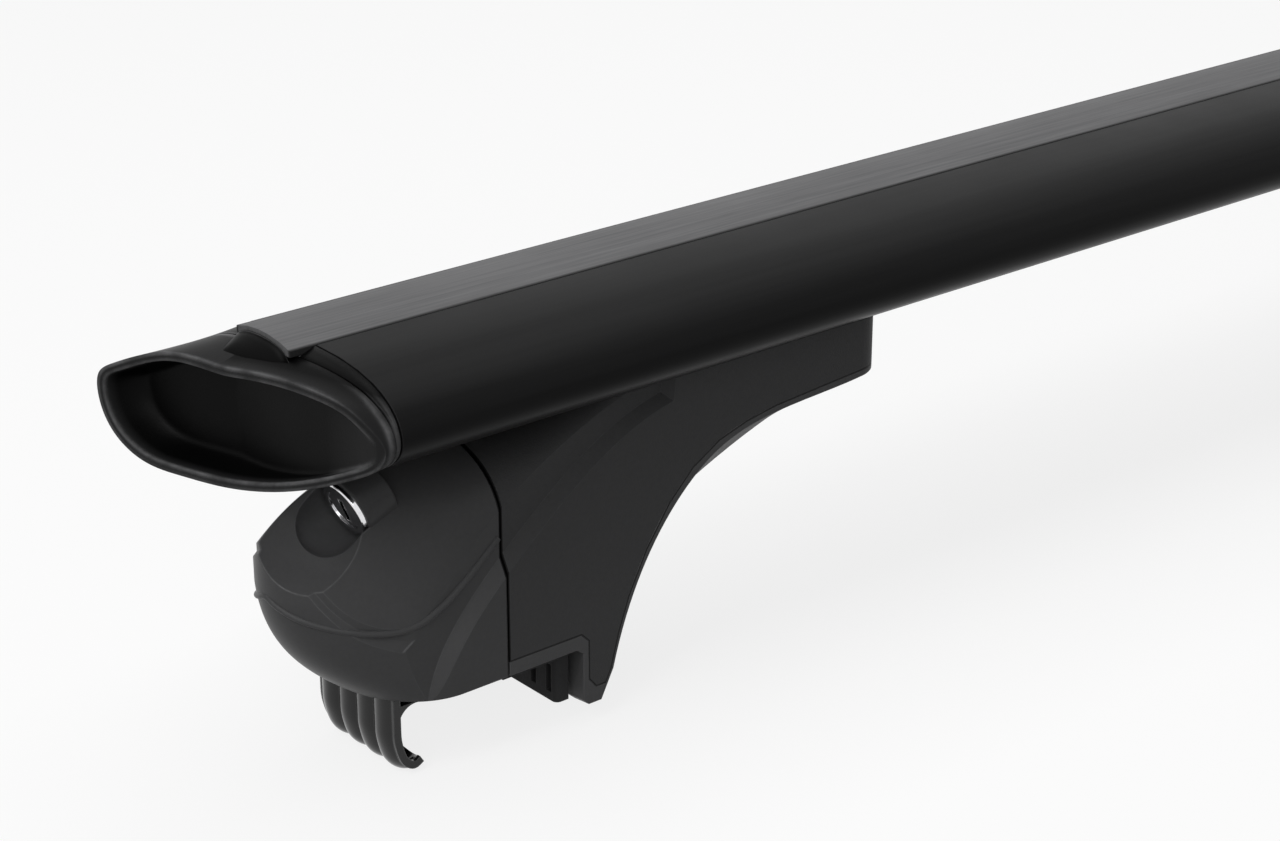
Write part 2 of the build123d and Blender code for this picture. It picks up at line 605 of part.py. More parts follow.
def build_claw():
    """Ribbed claw: hooked lip at the bottom, plate for the bolt, tongue that slides in the housing."""
    half = CLAW_WIDTH / 2
    join = BASE_BOTTOM - 0.5
    curl = [Vector(x, 0, z) for x, z in CLAW_CURL]
    bend = Spline(curl, tangents=[Vector(0, 0, -1), Vector(1, 0, 0.62)])
    path = Line((CLAW_X, 0, join), curl[0]) + bend
    claw = sweep(claw_section(join), path=path)
    tongue_half = CLAW_TONGUE_WIDTH / 2
    claw += block(CLAW_OUTER, CLAW_INNER, -tongue_half, tongue_half, join - 1.2, CLAW_TOP)
    tongue_end = CLAW_OUTER + TONGUE_LENGTH
    claw += block(CLAW_OUTER, tongue_end, -tongue_half, tongue_half, CLAW_TOP - CLAW_SHEET, CLAW_TOP)
    flare_top = BASE_BOTTOM - PAD_THICK - SLIDE_FIT
    root = CLAW_INNER - 0.55
    tip = CLAW_INNER + FLARE_REACH
    foot = (root, 0, flare_top - FLARE_REACH)
    toe = (tip, 0, flare_top - FLARE_EDGE)
    curve = ThreePointArc(foot, (CLAW_INNER + 1, 0, flare_top - 1.5), toe)
    web = Polyline([toe, (tip, 0, flare_top), (root, 0, flare_top), foot])
    flare = curve.edges() + web.edges()
    claw += across(make_face(flare), half)
    claw -= rod(0, CLAW_INNER + 5, BOLT_Z, BOLT_RADIUS + 0.4)
    return claw


def build_bolt():
    """Draw bolt with a hexagon socket, its washer, and the cross nut it pulls against."""
    seat = CLAW_OUTER
    under_head = seat - WASHER_THICK
    head = rod(under_head - HEAD_LENGTH, under_head, BOLT_Z, HEAD_RADIUS)
    head = chamfer(head.faces().sort_by(Axis.X)[0].edges(), 0.6)
    bolt = head + rod(under_head, under_head + BOLT_LENGTH, BOLT_Z, BOLT_RADIUS)
    bolt = chamfer(bolt.faces().sort_by(Axis.X)[-1].edges(), 0.8)
    mouth = Plane((under_head - HEAD_LENGTH, 0, BOLT_Z), z_dir=(1, 0, 0))
    socket = mouth * RegularPolygon(HEX_KEY / 2, 6, major_radius=False)
    bolt -= extrude(socket, amount=HEAD_LENGTH * 0.6)
    washer = rod(under_head, seat, BOLT_Z, WASHER_RADIUS) - rod(0, seat + 1, BOLT_Z, BOLT_RADIUS + 0.3)
    nut = cross_rod(NUT_X, BOLT_Z, -TUNNEL_HALF + 1.0, TUNNEL_HALF - 1.0, NUT_RADIUS)
    nut -= rod(NUT_X - 10, NUT_X + 10, BOLT_Z, BOLT_RADIUS + BOLT_FIT)
    return bolt, washer, nut


def build_fixing():
    """Plate in the bar's lower slot and the two screws that hold the foot to it."""
    half = BOTTOM_CHANNEL_WIDTH / 2 - PLATE_FIT
    low = CHANNEL_FLOOR + PLATE_FIT
    plate_x0 = SCREW_PLACES[0] - PLATE_MARGIN
    plate_x1 = SCREW_PLACES[-1] + PLATE_MARGIN
    plate = block(plate_x0, plate_x1, -half, half, low, low + PLATE_THICK)
    roof = BAR_BOTTOM - BAR_CLEAR - ROOF_THICK
    screws = []
    for x in SCREW_PLACES:
        plate -= upright(x, low - 1, low + PLATE_THICK + 1, SCREW_RADIUS + LOCK_FIT)
        screw = upright(x, roof - 0.2, low + PLATE_THICK, SCREW_RADIUS)
        screw += upright(x, roof - 0.2 - SCREW_HEAD_LENGTH, roof - 0.2, SCREW_HEAD_RADIUS)
        mouth = Pos(x, 0, roof - 0.2 - SCREW_HEAD_LENGTH)
        socket = mouth * RegularPolygon(SCREW_KEY / 2, 6, major_radius=False)
        screws.append(screw - extrude(socket, amount=SCREW_HEAD_LENGTH * 0.6))
    return plate, screws[0] + screws[1]


def build_end():
    """Every piece at one end of the bar, by name, in that end's own frame."""
    cap, collar = build_cap()
    barrel, plug, cam = build_lock()
    bolt, washer, nut = build_bolt()
    plate, screws = build_fixing()
    return {
        "end_cap": cap,
        "cap_collar": collar,
        "cover": build_cover(),
        "lock_barrel": barrel,
        "lock_plug": plug,
        "lock_cam": cam,
        "foot_housing": build_housing(),
        "foot_base": build_base(),
        "rail_pad": build_pad(),
        "clamp_claw": build_claw(),
        "draw_bolt": bolt,
        "bolt_washer": washer,
        "barrel_nut": nut,
        "slot_plate": plate,
        "slot_screws": screws,
    }


def save(name, shape):
    """Writes one piece as its own file."""
    shape.label = name
    export_step(shape, f"parts/{name}.step")


centred = Pos(-BAR_LENGTH / 2, 0, 0)
save("bar", centred * build_bar())
save("top_strip", centred * build_strip())
for piece_name, piece in build_end().items():
    left = centred * piece
    save("left_" + piece_name, left)
    save("right_" + piece_name, mirror(left, about=Plane.YZ))
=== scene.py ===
import bpy
import bmesh
from math import cos, pi, radians, sin
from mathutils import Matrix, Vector


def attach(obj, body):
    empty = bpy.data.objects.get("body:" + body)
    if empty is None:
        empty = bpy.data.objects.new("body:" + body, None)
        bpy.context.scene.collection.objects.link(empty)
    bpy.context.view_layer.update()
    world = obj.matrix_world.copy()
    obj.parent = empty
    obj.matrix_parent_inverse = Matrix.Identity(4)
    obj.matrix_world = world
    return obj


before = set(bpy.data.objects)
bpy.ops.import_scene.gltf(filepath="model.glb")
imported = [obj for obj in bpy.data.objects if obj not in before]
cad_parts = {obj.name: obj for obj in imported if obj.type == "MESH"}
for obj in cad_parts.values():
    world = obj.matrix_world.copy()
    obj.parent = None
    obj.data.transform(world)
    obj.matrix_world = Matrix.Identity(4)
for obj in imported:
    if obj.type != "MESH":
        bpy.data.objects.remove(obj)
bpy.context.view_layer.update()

SIDES = ("left", "right")
MM = 0.001

# Places on the CAD part: the bar's cut end in metres, how far the mouth of its cap slants per millimetre
# across, and the seam between cover and housing in millimetres inwards from the bar's cut end
BAR_END = 0.575
CAP_SLANT = 0.32
SEAM = 38.4


def new_object(name, data):
    made = bpy.data.objects.new(name, data)
    bpy.context.scene.collection.objects.link(made)
    return made


# Camera: the photograph's viewing angle on the left foot
PHOTO_WIDTH = 1280
PHOTO_HEIGHT = 841
FOCAL_PIXELS = 2737
SENSOR_WIDTH = 36
TURN = radians(-39.9)
DIP = radians(22.6)
ANCHOR = Vector((-0.575, -0.0104, 0.105))
ANCHOR_PIXEL = (317, 345)
ANCHOR_DEPTH = 0.560


def make_camera():
    """Camera that sees the anchor point at its pixel in the photograph."""
    data = bpy.data.cameras.new("photo_camera")
    camera = new_object("photo_camera", data)
    camera.rotation_euler = (pi / 2 - DIP, 0, TURN)
    turned = camera.rotation_euler.to_matrix()
    right = turned @ Vector((1, 0, 0))
    up = turned @ Vector((0, 1, 0))
    ahead = turned @ Vector((0, 0, -1))
    across = (ANCHOR_PIXEL[0] - PHOTO_WIDTH / 2) / FOCAL_PIXELS
    down = (ANCHOR_PIXEL[1] - PHOTO_HEIGHT / 2) / FOCAL_PIXELS
    camera.location = ANCHOR - ANCHOR_DEPTH * (ahead + across * right - down * up)
    data.sensor_width = SENSOR_WIDTH
    data.lens = FOCAL_PIXELS / PHOTO_WIDTH * data.sensor_width
    data.clip_start = 0.01
    data.clip_end = 50
    bpy.context.scene.camera = camera


# Helpers for nodes
def new_group(name, inputs, outputs):
    """Node group with the given input values and output kinds, with its input and output nodes."""
    group = bpy.data.node_groups.new(name, "ShaderNodeTree")
    for label, value in inputs.items():
        socket = group.interface.new_socket(name=label, in_out="INPUT", socket_type="NodeSocketFloat")
        socket.default_value = value
    for label, kind in outputs.items():
        group.interface.new_socket(name=label, in_out="OUTPUT", socket_type="NodeSocket" + kind)
    return group, group.nodes.new("NodeGroupInput"), group.nodes.new("NodeGroupOutput")


def combined(tree, operation, one, other=None):
    """Result of a math node on sockets or written values."""
    node = tree.nodes.new("ShaderNodeMath")
    node.operation = operation
    for place, value in enumerate((one, other)):
        if isinstance(value, float):
            node.inputs[place].default_value = value
        elif value is not None:
            tree.links.new(value, node.inputs[place])
    return node.outputs["Value"]


def combined_vectors(tree, operation, one, other, result="Vector"):
    """Result of a vector math node on sockets or written vectors."""
    node = tree.nodes.new("ShaderNodeVectorMath")
    node.operation = operation
    for place, value in enumerate((one, other)):
        if isinstance(value, Vector):
            node.inputs[place].default_value = value
        else:
            tree.links.new(value, node.inputs[place])
    return node.outputs[result]


def scaled(tree, vector, factor):
    """Vector times a factor, either of them a socket or a written value."""
    node = tree.nodes.new("ShaderNodeVectorMath")
    node.operation = "SCALE"
    for socket, value in ((node.inputs[0], vector), (node.inputs["Scale"], factor)):
        if isinstance(value, (Vector, float)):
            socket.default_value = value
        else:
            tree.links.new(value, socket)
    return node.outputs["Vector"]


def mixed(tree, factor, one, other):
    """Colour mix of two sockets or two written colours."""
    node = tree.nodes.new("ShaderNodeMix")
    node.data_type = "RGBA"
    tree.links.new(factor, node.inputs["Factor"])
    for label, colour in (("A", one), ("B", other)):
        if isinstance(colour, tuple):
            node.inputs[label].default_value = (*colour, 1)
        else:
            tree.links.new(colour, node.inputs[label])
    return node.outputs["Result"]


def remap(tree, value, span, low=0.0, high=1.0):
    """Value spread from a span to the range from low to high, and held within it."""
    node = tree.nodes.new("ShaderNodeMapRange")
    node.inputs["From Min"].default_value = span[0]
    node.inputs["From Max"].default_value = span[1]
    node.inputs["To Min"].default_value = low
    node.inputs["To Max"].default_value = high
    tree.links.new(value, node.inputs["Value"])
    return node.outputs["Result"]


def noise(tree, vector, scale, detail, roughness):
    node = tree.nodes.new("ShaderNodeTexNoise")
    node.inputs["Detail"].default_value = detail
    node.inputs["Roughness"].default_value = roughness
    if isinstance(scale, float):
        node.inputs["Scale"].default_value = scale
    else:
        tree.links.new(scale, node.inputs["Scale"])
    tree.links.new(vector, node.inputs["Vector"])
    return node.outputs["Fac"]


def object_place(tree):
    return tree.nodes.new("ShaderNodeTexCoord").outputs["Object"]


def parts_of(tree, vector):
    """X, Y and Z of a vector."""
    split = tree.nodes.new("ShaderNodeSeparateXYZ")
    tree.links.new(vector, split.inputs["Vector"])
    return split.outputs["X"], split.outputs["Y"], split.outputs["Z"]


# Textures of the finishes. A noise has a scale, a detail and a roughness.
TEXTURE_OUTPUTS = {"Normal": "Vector", "Mottle": "Float", "Patches": "Float", "Edges": "Float"}
EDGE_SAMPLES = 8
EDGE_LEAN = (0.998, 0.93)
RELIEF_HEIGHT = 0.0002
PATCH_SPAN = (0.3, 0.7)
GRAIN_PATCHES = (45.0, 5.0, 0.55)
GRAIN_FINENESS = (2.0, 0.6)
SPECKS = (900.0, 3.0, 0.6)
SPECK_SPAN = (0.3, 0.75)
SPECK_SHARE = 0.4
LINE_PATCHES = (30.0, 5.0, 0.55)
LINE_FINENESS = (3.0, 0.6)
LINE_SPAN = (0.25, 0.75)
LINE_STRETCH = (0.02, 1.0, 1.0)
# Spots along the edges where they are painted lighter: partly wear, partly a painted highlight
EDGE_WEAR_AND_HIGHLIGHT_SPOTS = (160.0, 4.0, 0.6)
EDGE_WEAR_AND_HIGHLIGHT_SPAN = (0.35, 0.65)
EDGE_WEAR_AND_HIGHLIGHT_LEAST = 0.35


def soft_edges(tree, radius, strength, height):
    """Rounded edges under a fine bump. Gives the normal and a mask of where the edges are."""
    edge = tree.nodes.new("ShaderNodeBevel")
    edge.samples = EDGE_SAMPLES
    tree.links.new(radius, edge.inputs["Radius"])
    bump = tree.nodes.new("ShaderNodeBump")
    bump.inputs["Distance"].default_value = RELIEF_HEIGHT
    tree.links.new(strength, bump.inputs["Strength"])
    tree.links.new(height, bump.inputs["Height"])
    tree.links.new(edge.outputs["Normal"], bump.inputs["Normal"])
    plain = tree.nodes.new("ShaderNodeNewGeometry")
    lean = combined_vectors(tree, "DOT_PRODUCT", edge.outputs["Normal"], plain.outputs["Normal"], "Value")
    return bump.outputs["Normal"], remap(tree, lean, EDGE_LEAN)


def give_texture(group, end, radius, depth, relief, mottle, patches):
    """Links a texture's relief, mottle and patches, and the edge mask in spots, to its group's outputs. The edges are
    lighter partly from wear and partly from a painted highlight.
    """
    normal, edges = soft_edges(group, radius, depth, relief)
    spots = noise(group, object_place(group), *EDGE_WEAR_AND_HIGHLIGHT_SPOTS)
    edge_wear_and_highlight = remap(group, spots, EDGE_WEAR_AND_HIGHLIGHT_SPAN, low=EDGE_WEAR_AND_HIGHLIGHT_LEAST)
    group.links.new(normal, end.inputs["Normal"])
    group.links.new(mottle, end.inputs["Mottle"])
    group.links.new(patches, end.inputs["Patches"])
    group.links.new(combined(group, "MULTIPLY", edges, edge_wear_and_highlight), end.inputs["Edges"])


def moulded_grain_group():
    """Fine texture of moulded plastic, with worn edges that also carry a painted highlight, and patchy gloss."""
    inputs = {"Grain Scale": 2600.0, "Grain Depth": 0.2, "Edge Radius": 0.0004}
    group, start, end = new_group("moulded grain", inputs, TEXTURE_OUTPUTS)
    place = object_place(group)
    fine = noise(group, place, start.outputs["Grain Scale"], *GRAIN_FINENESS)
    patches = remap(group, noise(group, place, *GRAIN_PATCHES), PATCH_SPAN)
    specks = remap(group, noise(group, place, *SPECKS), SPECK_SPAN)
    mottle = group.nodes.new("ShaderNodeMix")
    mottle.inputs["Factor"].default_value = SPECK_SHARE
    group.links.new(patches, mottle.inputs["A"])
    group.links.new(specks, mottle.inputs["B"])
    give_texture(
        group, end, start.outputs["Edge Radius"], start.outputs["Grain Depth"], fine, mottle.outputs["Result"], patches)
    return group


def drawn_lines_group():
    """Fine lines along the bar, as on extruded metal and rubber."""
    inputs = {"Line Scale": 900.0, "Line Depth": 0.2, "Edge Radius": 0.0003}
    group, start, end = new_group("drawn lines", inputs, TEXTURE_OUTPUTS)
    place = object_place(group)
    stretch = group.nodes.new("ShaderNodeMapping")
    stretch.inputs["Scale"].default_value = LINE_STRETCH
    group.links.new(place, stretch.inputs["Vector"])
    lines = noise(group, stretch.outputs["Vector"], start.outputs["Line Scale"], *LINE_FINENESS)
    patches = remap(group, noise(group, place, *LINE_PATCHES), PATCH_SPAN)
    mottle = remap(group, lines, LINE_SPAN)
    give_texture(
        group, end, start.outputs["Edge Radius"], start.outputs["Line Depth"], lines, mottle, patches)
    return group


# Masks that are laid over a finish
def slot_shadow_group():
    """Painted shadow: dark line along the strip's two edges, where the slot lies in shade."""
    inputs = {"Edge Place": 0.0092, "Fade": 0.0006}
    group, start, end = new_group("slot shadow", inputs, {"Shade": "Float"})
    across = parts_of(group, object_place(group))[1]
    over = combined(group, "SUBTRACT", combined(group, "ABSOLUTE", across), start.outputs["Edge Place"])
    shade = combined(group, "DIVIDE", over, start.outputs["Fade"])
    shade.node.use_clamp = True
    group.links.new(shade, end.inputs["Shade"])
    return group


def from_bar_end(tree):
    """Place in side view in millimetres: inwards from the bar's cut end, and up. Also metres out to the side."""
    along, across, up = parts_of(tree, object_place(tree))
    inwards = combined(tree, "SUBTRACT", BAR_END, combined(tree, "ABSOLUTE", along))
    flat = tree.nodes.new("ShaderNodeCombineXYZ")
    tree.links.new(inwards, flat.inputs["X"])
    tree.links.new(up, flat.inputs["Z"])
    return scaled(tree, flat.outputs["Vector"], 1 / MM), combined(tree, "ABSOLUTE", across)


def distance_to_run(tree, place, start, end):
    """Distance in side view from a straight run between two points."""
    start = Vector((start[0], 0, start[1]))
    run = Vector((end[0], 0, end[1])) - start
    rest = combined_vectors(tree, "SUBTRACT", place, start)
    share = combined_vectors(tree, "DOT_PRODUCT", rest, run / run.length_squared, "Value")
    nearest = scaled(tree, run, remap(tree, share, (0.0, 1.0)))
    return combined_vectors(tree, "DISTANCE", rest, nearest, "Value")


# Joint between the housing and its base in side view, in millimetres from the bar's cut end and up
JOINT_LINE = (
    (38.6, 24.0), (58.9, 24.0), (61.1, 21.8), (61.1, 12.0), (63.1, 9.6), (65.8, 9.6), (67.4, 12.6), (69.9, 21.5),
    (72.8, 29.3), (78.2, 39.6), (85.0, 49.2), (92.0, 56.0), (100.0, 60.6), (108.5, 63.1), (117.6, 64.6), (149.1, 66.8),
)


def joint_line_group():
    """Dark line where the base meets the housing on the foot's sides."""
    inputs = {"Line Width": 0.22, "Side Place": 0.0195}
    group, start, end = new_group("joint line", inputs, {"Line": "Float"})
    place, out = from_bar_end(group)
    nearest = None
    for one, other in zip(JOINT_LINE, JOINT_LINE[1:]):
        gap = distance_to_run(group, place, one, other)
        nearest = gap if nearest is None else combined(group, "MINIMUM", nearest, gap)
    within = combined(group, "LESS_THAN", nearest, start.outputs["Line Width"])
    outside = combined(group, "GREATER_THAN", out, start.outputs["Side Place"])
    group.links.new(combined(group, "MULTIPLY", within, outside), end.inputs["Line"])
    return group


def seam_line_group():
    """Dark line along the seam between the cover and the housing."""
    group, start, end = new_group("seam line", {"Line Width": 0.5}, {"Line": "Float"})
    place, _ = from_bar_end(group)
    gap = combined(group, "ABSOLUTE", combined(group, "SUBTRACT", parts_of(group, place)[0], SEAM))
    group.links.new(combined(group, "LESS_THAN", gap, start.outputs["Line Width"]), end.inputs["Line"])
    return group


# Painted shade in the cap's dish: depth in metres behind the mouth over which it turns dark, and how far the dish's
# floor has to face outwards
DISH_FADE = (0.0008, 0.003)
DISH_FLOOR_FACING = 0.3


def dish_shade_group():
    """Painted shade inside the end cap's dish, past its rounded rim, where the recess lies in shadow."""
    inputs = {"Rim Place": 0.0144, "Rim Slant": CAP_SLANT, "Middle Height": 0.088}
    group, start, end = new_group("dish shade", inputs, {"Shade": "Float"})
    coordinates = group.nodes.new("ShaderNodeTexCoord")
    along, across, up = parts_of(group, coordinates.outputs["Object"])
    facing_along, facing_across, facing_up = parts_of(group, coordinates.outputs["Normal"])
    slanted = combined(group, "MULTIPLY", across, start.outputs["Rim Slant"])
    rim = combined(group, "ADD", slanted, start.outputs["Rim Place"])
    reach = combined(group, "SUBTRACT", combined(group, "ABSOLUTE", along), BAR_END)
    depth = combined(group, "SUBTRACT", rim, reach)
    height = combined(group, "SUBTRACT", up, start.outputs["Middle Height"])
    outwards = combined(
        group, "ADD",
        combined(group, "MULTIPLY", across, facing_across),
        combined(group, "MULTIPLY", height, facing_up))
    wall = combined(group, "LESS_THAN", outwards, 0.0)
    ahead = combined(group, "MULTIPLY", combined(group, "SIGN", along), facing_along)
    floor = combined(group, "GREATER_THAN", ahead, DISH_FLOOR_FACING)
    inside = combined(group, "MAXIMUM", wall, floor)
    shade = combined(group, "MULTIPLY", inside, remap(group, depth, DISH_FADE))
    group.links.new(shade, end.inputs["Shade"])
    return group


# Finishes
def grey(level):
    return (level, level, level * 1.02)


def finish_material(name, group, values, dark, light, edge_wear_and_highlight, gloss, metallic=0.0, coat=0.0, specular=0.5):
    """Principled material whose grey level and roughness vary with a texture's masks."""
    material = bpy.data.materials.new(name)
    material.use_nodes = True
    tree = material.node_tree
    shader = tree.nodes["Principled BSDF"]
    effect = tree.nodes.new("ShaderNodeGroup")
    effect.node_tree = group
    for label, value in values.items():
        effect.inputs[label].default_value = value
    colour = mixed(tree, effect.outputs["Mottle"], grey(dark), grey(light))
    # Edges painted lighter: partly wear, partly a painted highlight along them
    colour = mixed(tree, effect.outputs["Edges"], colour, grey(edge_wear_and_highlight))
    tree.links.new(colour, shader.inputs["Base Color"])
    roughness = remap(tree, effect.outputs["Patches"], (0.0, 1.0), *gloss)
    tree.links.new(roughness, shader.inputs["Roughness"])
    tree.links.new(effect.outputs["Normal"], shader.inputs["Normal"])
    shader.inputs["Metallic"].default_value = metallic
    shader.inputs["Coat Weight"].default_value = coat
    shader.inputs["Specular IOR Level"].default_value = specular
    return material


def lay_over(material, group, mask, level):
    """Lays a group's mask in one grey level over a finished material."""
    tree = material.node_tree
    shader = tree.nodes["Principled BSDF"]
    effect = tree.nodes.new("ShaderNodeGroup")
    effect.node_tree = group
    under = shader.inputs["Base Color"].links[0].from_socket
    tree.links.new(mixed(tree, effect.outputs[mask], under, grey(level)), shader.inputs["Base Color"])


# Grey levels laid over the finishes: the dark joint lines, the painted shadow in the strip's slot and the painted shade
# in the cap's dish
SLOT_SHADOW_GREY = 0.02
DISH_SHADE_GREY = 0.001
SEAM_GREY = 0.003
JOINT_GREY = 0.006


def make_materials():
    grain = moulded_grain_group()
    lines = drawn_lines_group()
    made = {
        "bar": finish_material(
            "satin black extrusion", lines, {"Line Scale": 500.0, "Line Depth": 0.06},
            dark=0.008, light=0.011, edge_wear_and_highlight=0.03, gloss=(0.30, 0.38), specular=0.04),
        "top_strip": finish_material(
            "grey rubber strip", lines, {"Line Scale": 1400.0, "Line Depth": 0.35},
            dark=0.108, light=0.165, edge_wear_and_highlight=0.15, gloss=(0.60, 0.72), specular=0.12),
        "end_cap": finish_material(
            "black moulded cap", grain, {"Grain Scale": 2200.0, "Grain Depth": 0.15, "Edge Radius": 0.0018},
            dark=0.014, light=0.018, edge_wear_and_highlight=0.15, gloss=(0.34, 0.44), specular=0.06),
        "cover": finish_material(
            "smooth black moulding", grain, {"Grain Scale": 2400.0, "Grain Depth": 0.12, "Edge Radius": 0.0006},
            dark=0.070, light=0.084, edge_wear_and_highlight=0.14, gloss=(0.36, 0.44), specular=0.10),
        "foot_housing": finish_material(
            "grained black moulding", grain, {"Grain Scale": 2600.0, "Grain Depth": 0.4},
            dark=0.054, light=0.068, edge_wear_and_highlight=0.10, gloss=(0.50, 0.60), specular=0.11),
        "foot_base": finish_material(
            "grained black base", grain, {"Grain Scale": 2600.0, "Grain Depth": 0.4},
            dark=0.075, light=0.090, edge_wear_and_highlight=0.14, gloss=(0.46, 0.56), specular=0.15),
        "rail_pad": finish_material(
            "soft black rubber", grain, {"Grain Scale": 1800.0, "Grain Depth": 0.4},
            dark=0.030, light=0.040, edge_wear_and_highlight=0.07, gloss=(0.60, 0.75), specular=0.12),
        "clamp_claw": finish_material(
            "glossy black coated casting", grain, {"Grain Scale": 900.0, "Grain Depth": 0.12, "Edge Radius": 0.0005},
            dark=0.004, light=0.008, edge_wear_and_highlight=0.05, gloss=(0.12, 0.18), coat=0.2, specular=0.28),
        "lock": finish_material(
            "polished chrome", grain, {"Grain Scale": 3000.0, "Grain Depth": 0.03, "Edge Radius": 0.0002},
            dark=0.72, light=0.80, edge_wear_and_highlight=0.85, gloss=(0.08, 0.16), metallic=1.0),
        "zinc": finish_material(
            "zinc plated steel", grain, {"Grain Scale": 1500.0, "Grain Depth": 0.12},
            dark=0.45, light=0.55, edge_wear_and_highlight=0.62, gloss=(0.28, 0.40), metallic=1.0),
    }
    # Painted shadow along the strip's edges, in the slot
    lay_over(made["top_strip"], slot_shadow_group(), "Shade", SLOT_SHADOW_GREY)
    # Painted shade darkens the inside of the cap's dish
    lay_over(made["end_cap"], dish_shade_group(), "Shade", DISH_SHADE_GREY)
    seam = seam_line_group()
    lay_over(made["cover"], seam, "Line", SEAM_GREY)
    lay_over(made["foot_housing"], seam, "Line", SEAM_GREY)
    joint = joint_line_group()
    lay_over(made["foot_housing"], joint, "Line", JOINT_GREY)
    lay_over(made["foot_base"], joint, "Line", JOINT_GREY)
    return made


FINISH_OF = {
    "bar": "bar", "top_strip": "top_strip", "end_cap": "end_cap", "cap_collar": "end_cap", "cover": "cover",
    "lock_barrel": "lock", "lock_plug": "lock", "lock_cam": "zinc", "foot_housing": "foot_housing",
    "foot_base": "foot_base", "rail_pad": "rail_pad", "clamp_claw": "clamp_claw", "draw_bolt": "zinc",
    "bolt_washer": "zinc", "barrel_nut": "zinc", "slot_plate": "zinc", "slot_screws": "zinc",
}


def dress_nodes(materials):
    """Gives each CAD node its finish, the same on both sides."""
    for name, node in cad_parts.items():
        side, _, rest = name.partition("_")
        piece = rest if side in SIDES else name
        node.data.materials.clear()
        node.data.materials.append(materials[FINISH_OF[piece]])


# Pieces that are added to the CAD part
def at_end(side, x, y, z):
    """Place in metres of a point given in millimetres inwards from the bar's cut end."""
    inwards = 1 if side == "left" else -1
    return Vector((-inwards * (BAR_END - x * MM), y * MM, z * MM))


def finished_piece(name, shape, material, body):
    """Turns a closed bmesh's faces outwards and makes it a smooth piece that rides on a body."""
    bmesh.ops.recalc_face_normals(shape, faces=shape.faces[:])
    if shape.calc_volume(signed=True) < 0:
        bmesh.ops.reverse_faces(shape, faces=shape.faces[:])
    mesh = bpy.data.meshes.new(name)
    shape.to_mesh(mesh)
    shape.free()
    mesh.shade_smooth()
    piece = new_object(name, mesh)
    mesh.materials.append(material)
    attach(piece, body)
    return piece


def extruded(shape, faces, way):
    """Closes an open sheet into a solid by extruding it."""
    made = bmesh.ops.extrude_face_region(shape, geom=faces)
    moved = [item for item in made["geom"] if isinstance(item, bmesh.types.BMVert)]
    bmesh.ops.translate(shape, verts=moved, vec=way)


# Hump of the end cap in front of the strip, in millimetres from the bar's cut end.
# A pair gives the measure at the hump's start by the strip and at its end by the rim.
HUMP_START = -6.7
HUMP_END = -11.0
HUMP_HALF = (10.0, 8.0)
HUMP_TOP = (104.4, 101.7)
HUMP_CROWN = 1.4
HUMP_FALL = 1.7
HUMP_ROUNDING = 6
HUMP_DEPTH = 1.0
HUMP_STEPS = (12, 20)


def between(pair, share):
    return pair[0] + (pair[1] - pair[0]) * share


def make_cap_hump(side, material):
    """Low moulded hump that leads from the cap's rim up to the strip's end."""
    shape = bmesh.new()
    made = bmesh.ops.create_grid(shape, x_segments=HUMP_STEPS[0], y_segments=HUMP_STEPS[1], size=0.5)
    for vertex in made["verts"]:
        run = vertex.co.x + 0.5
        out = vertex.co.y * 2
        y = out * between(HUMP_HALF, run)
        x = between((HUMP_START, HUMP_END - CAP_SLANT * y), run)
        crown = HUMP_CROWN * (1 - out * out) * (1 - run)
        fall = HUMP_FALL * max(abs(out), run) ** HUMP_ROUNDING
        vertex.co = at_end(side, x, y, between(HUMP_TOP, run) + crown - fall)
    extruded(shape, shape.faces[:], (0, 0, -HUMP_DEPTH * MM))
    finished_piece(side + "_cap_hump", shape, material, "bar")


# Surround of the lock in millimetres, on the lock's tilted axis
LOCK_PLACE = (9.7, -4.0, 63.6)
LOCK_TILT = radians(22)
SURROUND_LENGTH = 8.0
SURROUND_RADII = (7.6, 6.15)
SURROUND_STEPS = 64
SURROUND_ROUND = 0.4
SURROUND_ROUND_STEPS = 3


def make_lock_surround(side, material):
    """Moulded ring of the cover round the lock's barrel."""
    shape = bmesh.new()
    for radius in SURROUND_RADII:
        bmesh.ops.create_circle(shape, segments=SURROUND_STEPS, radius=radius)
    ring = bmesh.ops.bridge_loops(shape, edges=shape.edges[:])
    extruded(shape, ring["faces"], (0, 0, SURROUND_LENGTH))
    for vertex in shape.verts:
        across, out, along = vertex.co
        x = LOCK_PLACE[0] + along * cos(LOCK_TILT) - across * sin(LOCK_TILT)
        z = LOCK_PLACE[2] + along * sin(LOCK_TILT) + across * cos(LOCK_TILT)
        vertex.co = at_end(side, x, LOCK_PLACE[1] + out, z)
    surround = finished_piece(side + "_lock_surround", shape, material, side + "_cover")
    rounded = surround.modifiers.new("rounded rim", "BEVEL")
    rounded.width = SURROUND_ROUND * MM
    rounded.segments = SURROUND_ROUND_STEPS


# Ridge round the cover's nose, from its tip back to the seam along one side, in millimetres
RIDGE = (
    (-9.2, 0.0, 47.0), (-8.9, 3.2, 45.4), (-6.5, 8.7, 43.2), (-0.2, 14.3, 40.9), (7.4, 17.9, 39.0), (15.0, 19.8, 38.7),
    (22.5, 20.2, 41.8), (29.3, 20.1, 46.5), (33.6, 20.0, 50.0), (37.8, 19.9, 53.6),
)
RIDGE_RADIUS = 0.9
RIDGE_TIP = 0.8


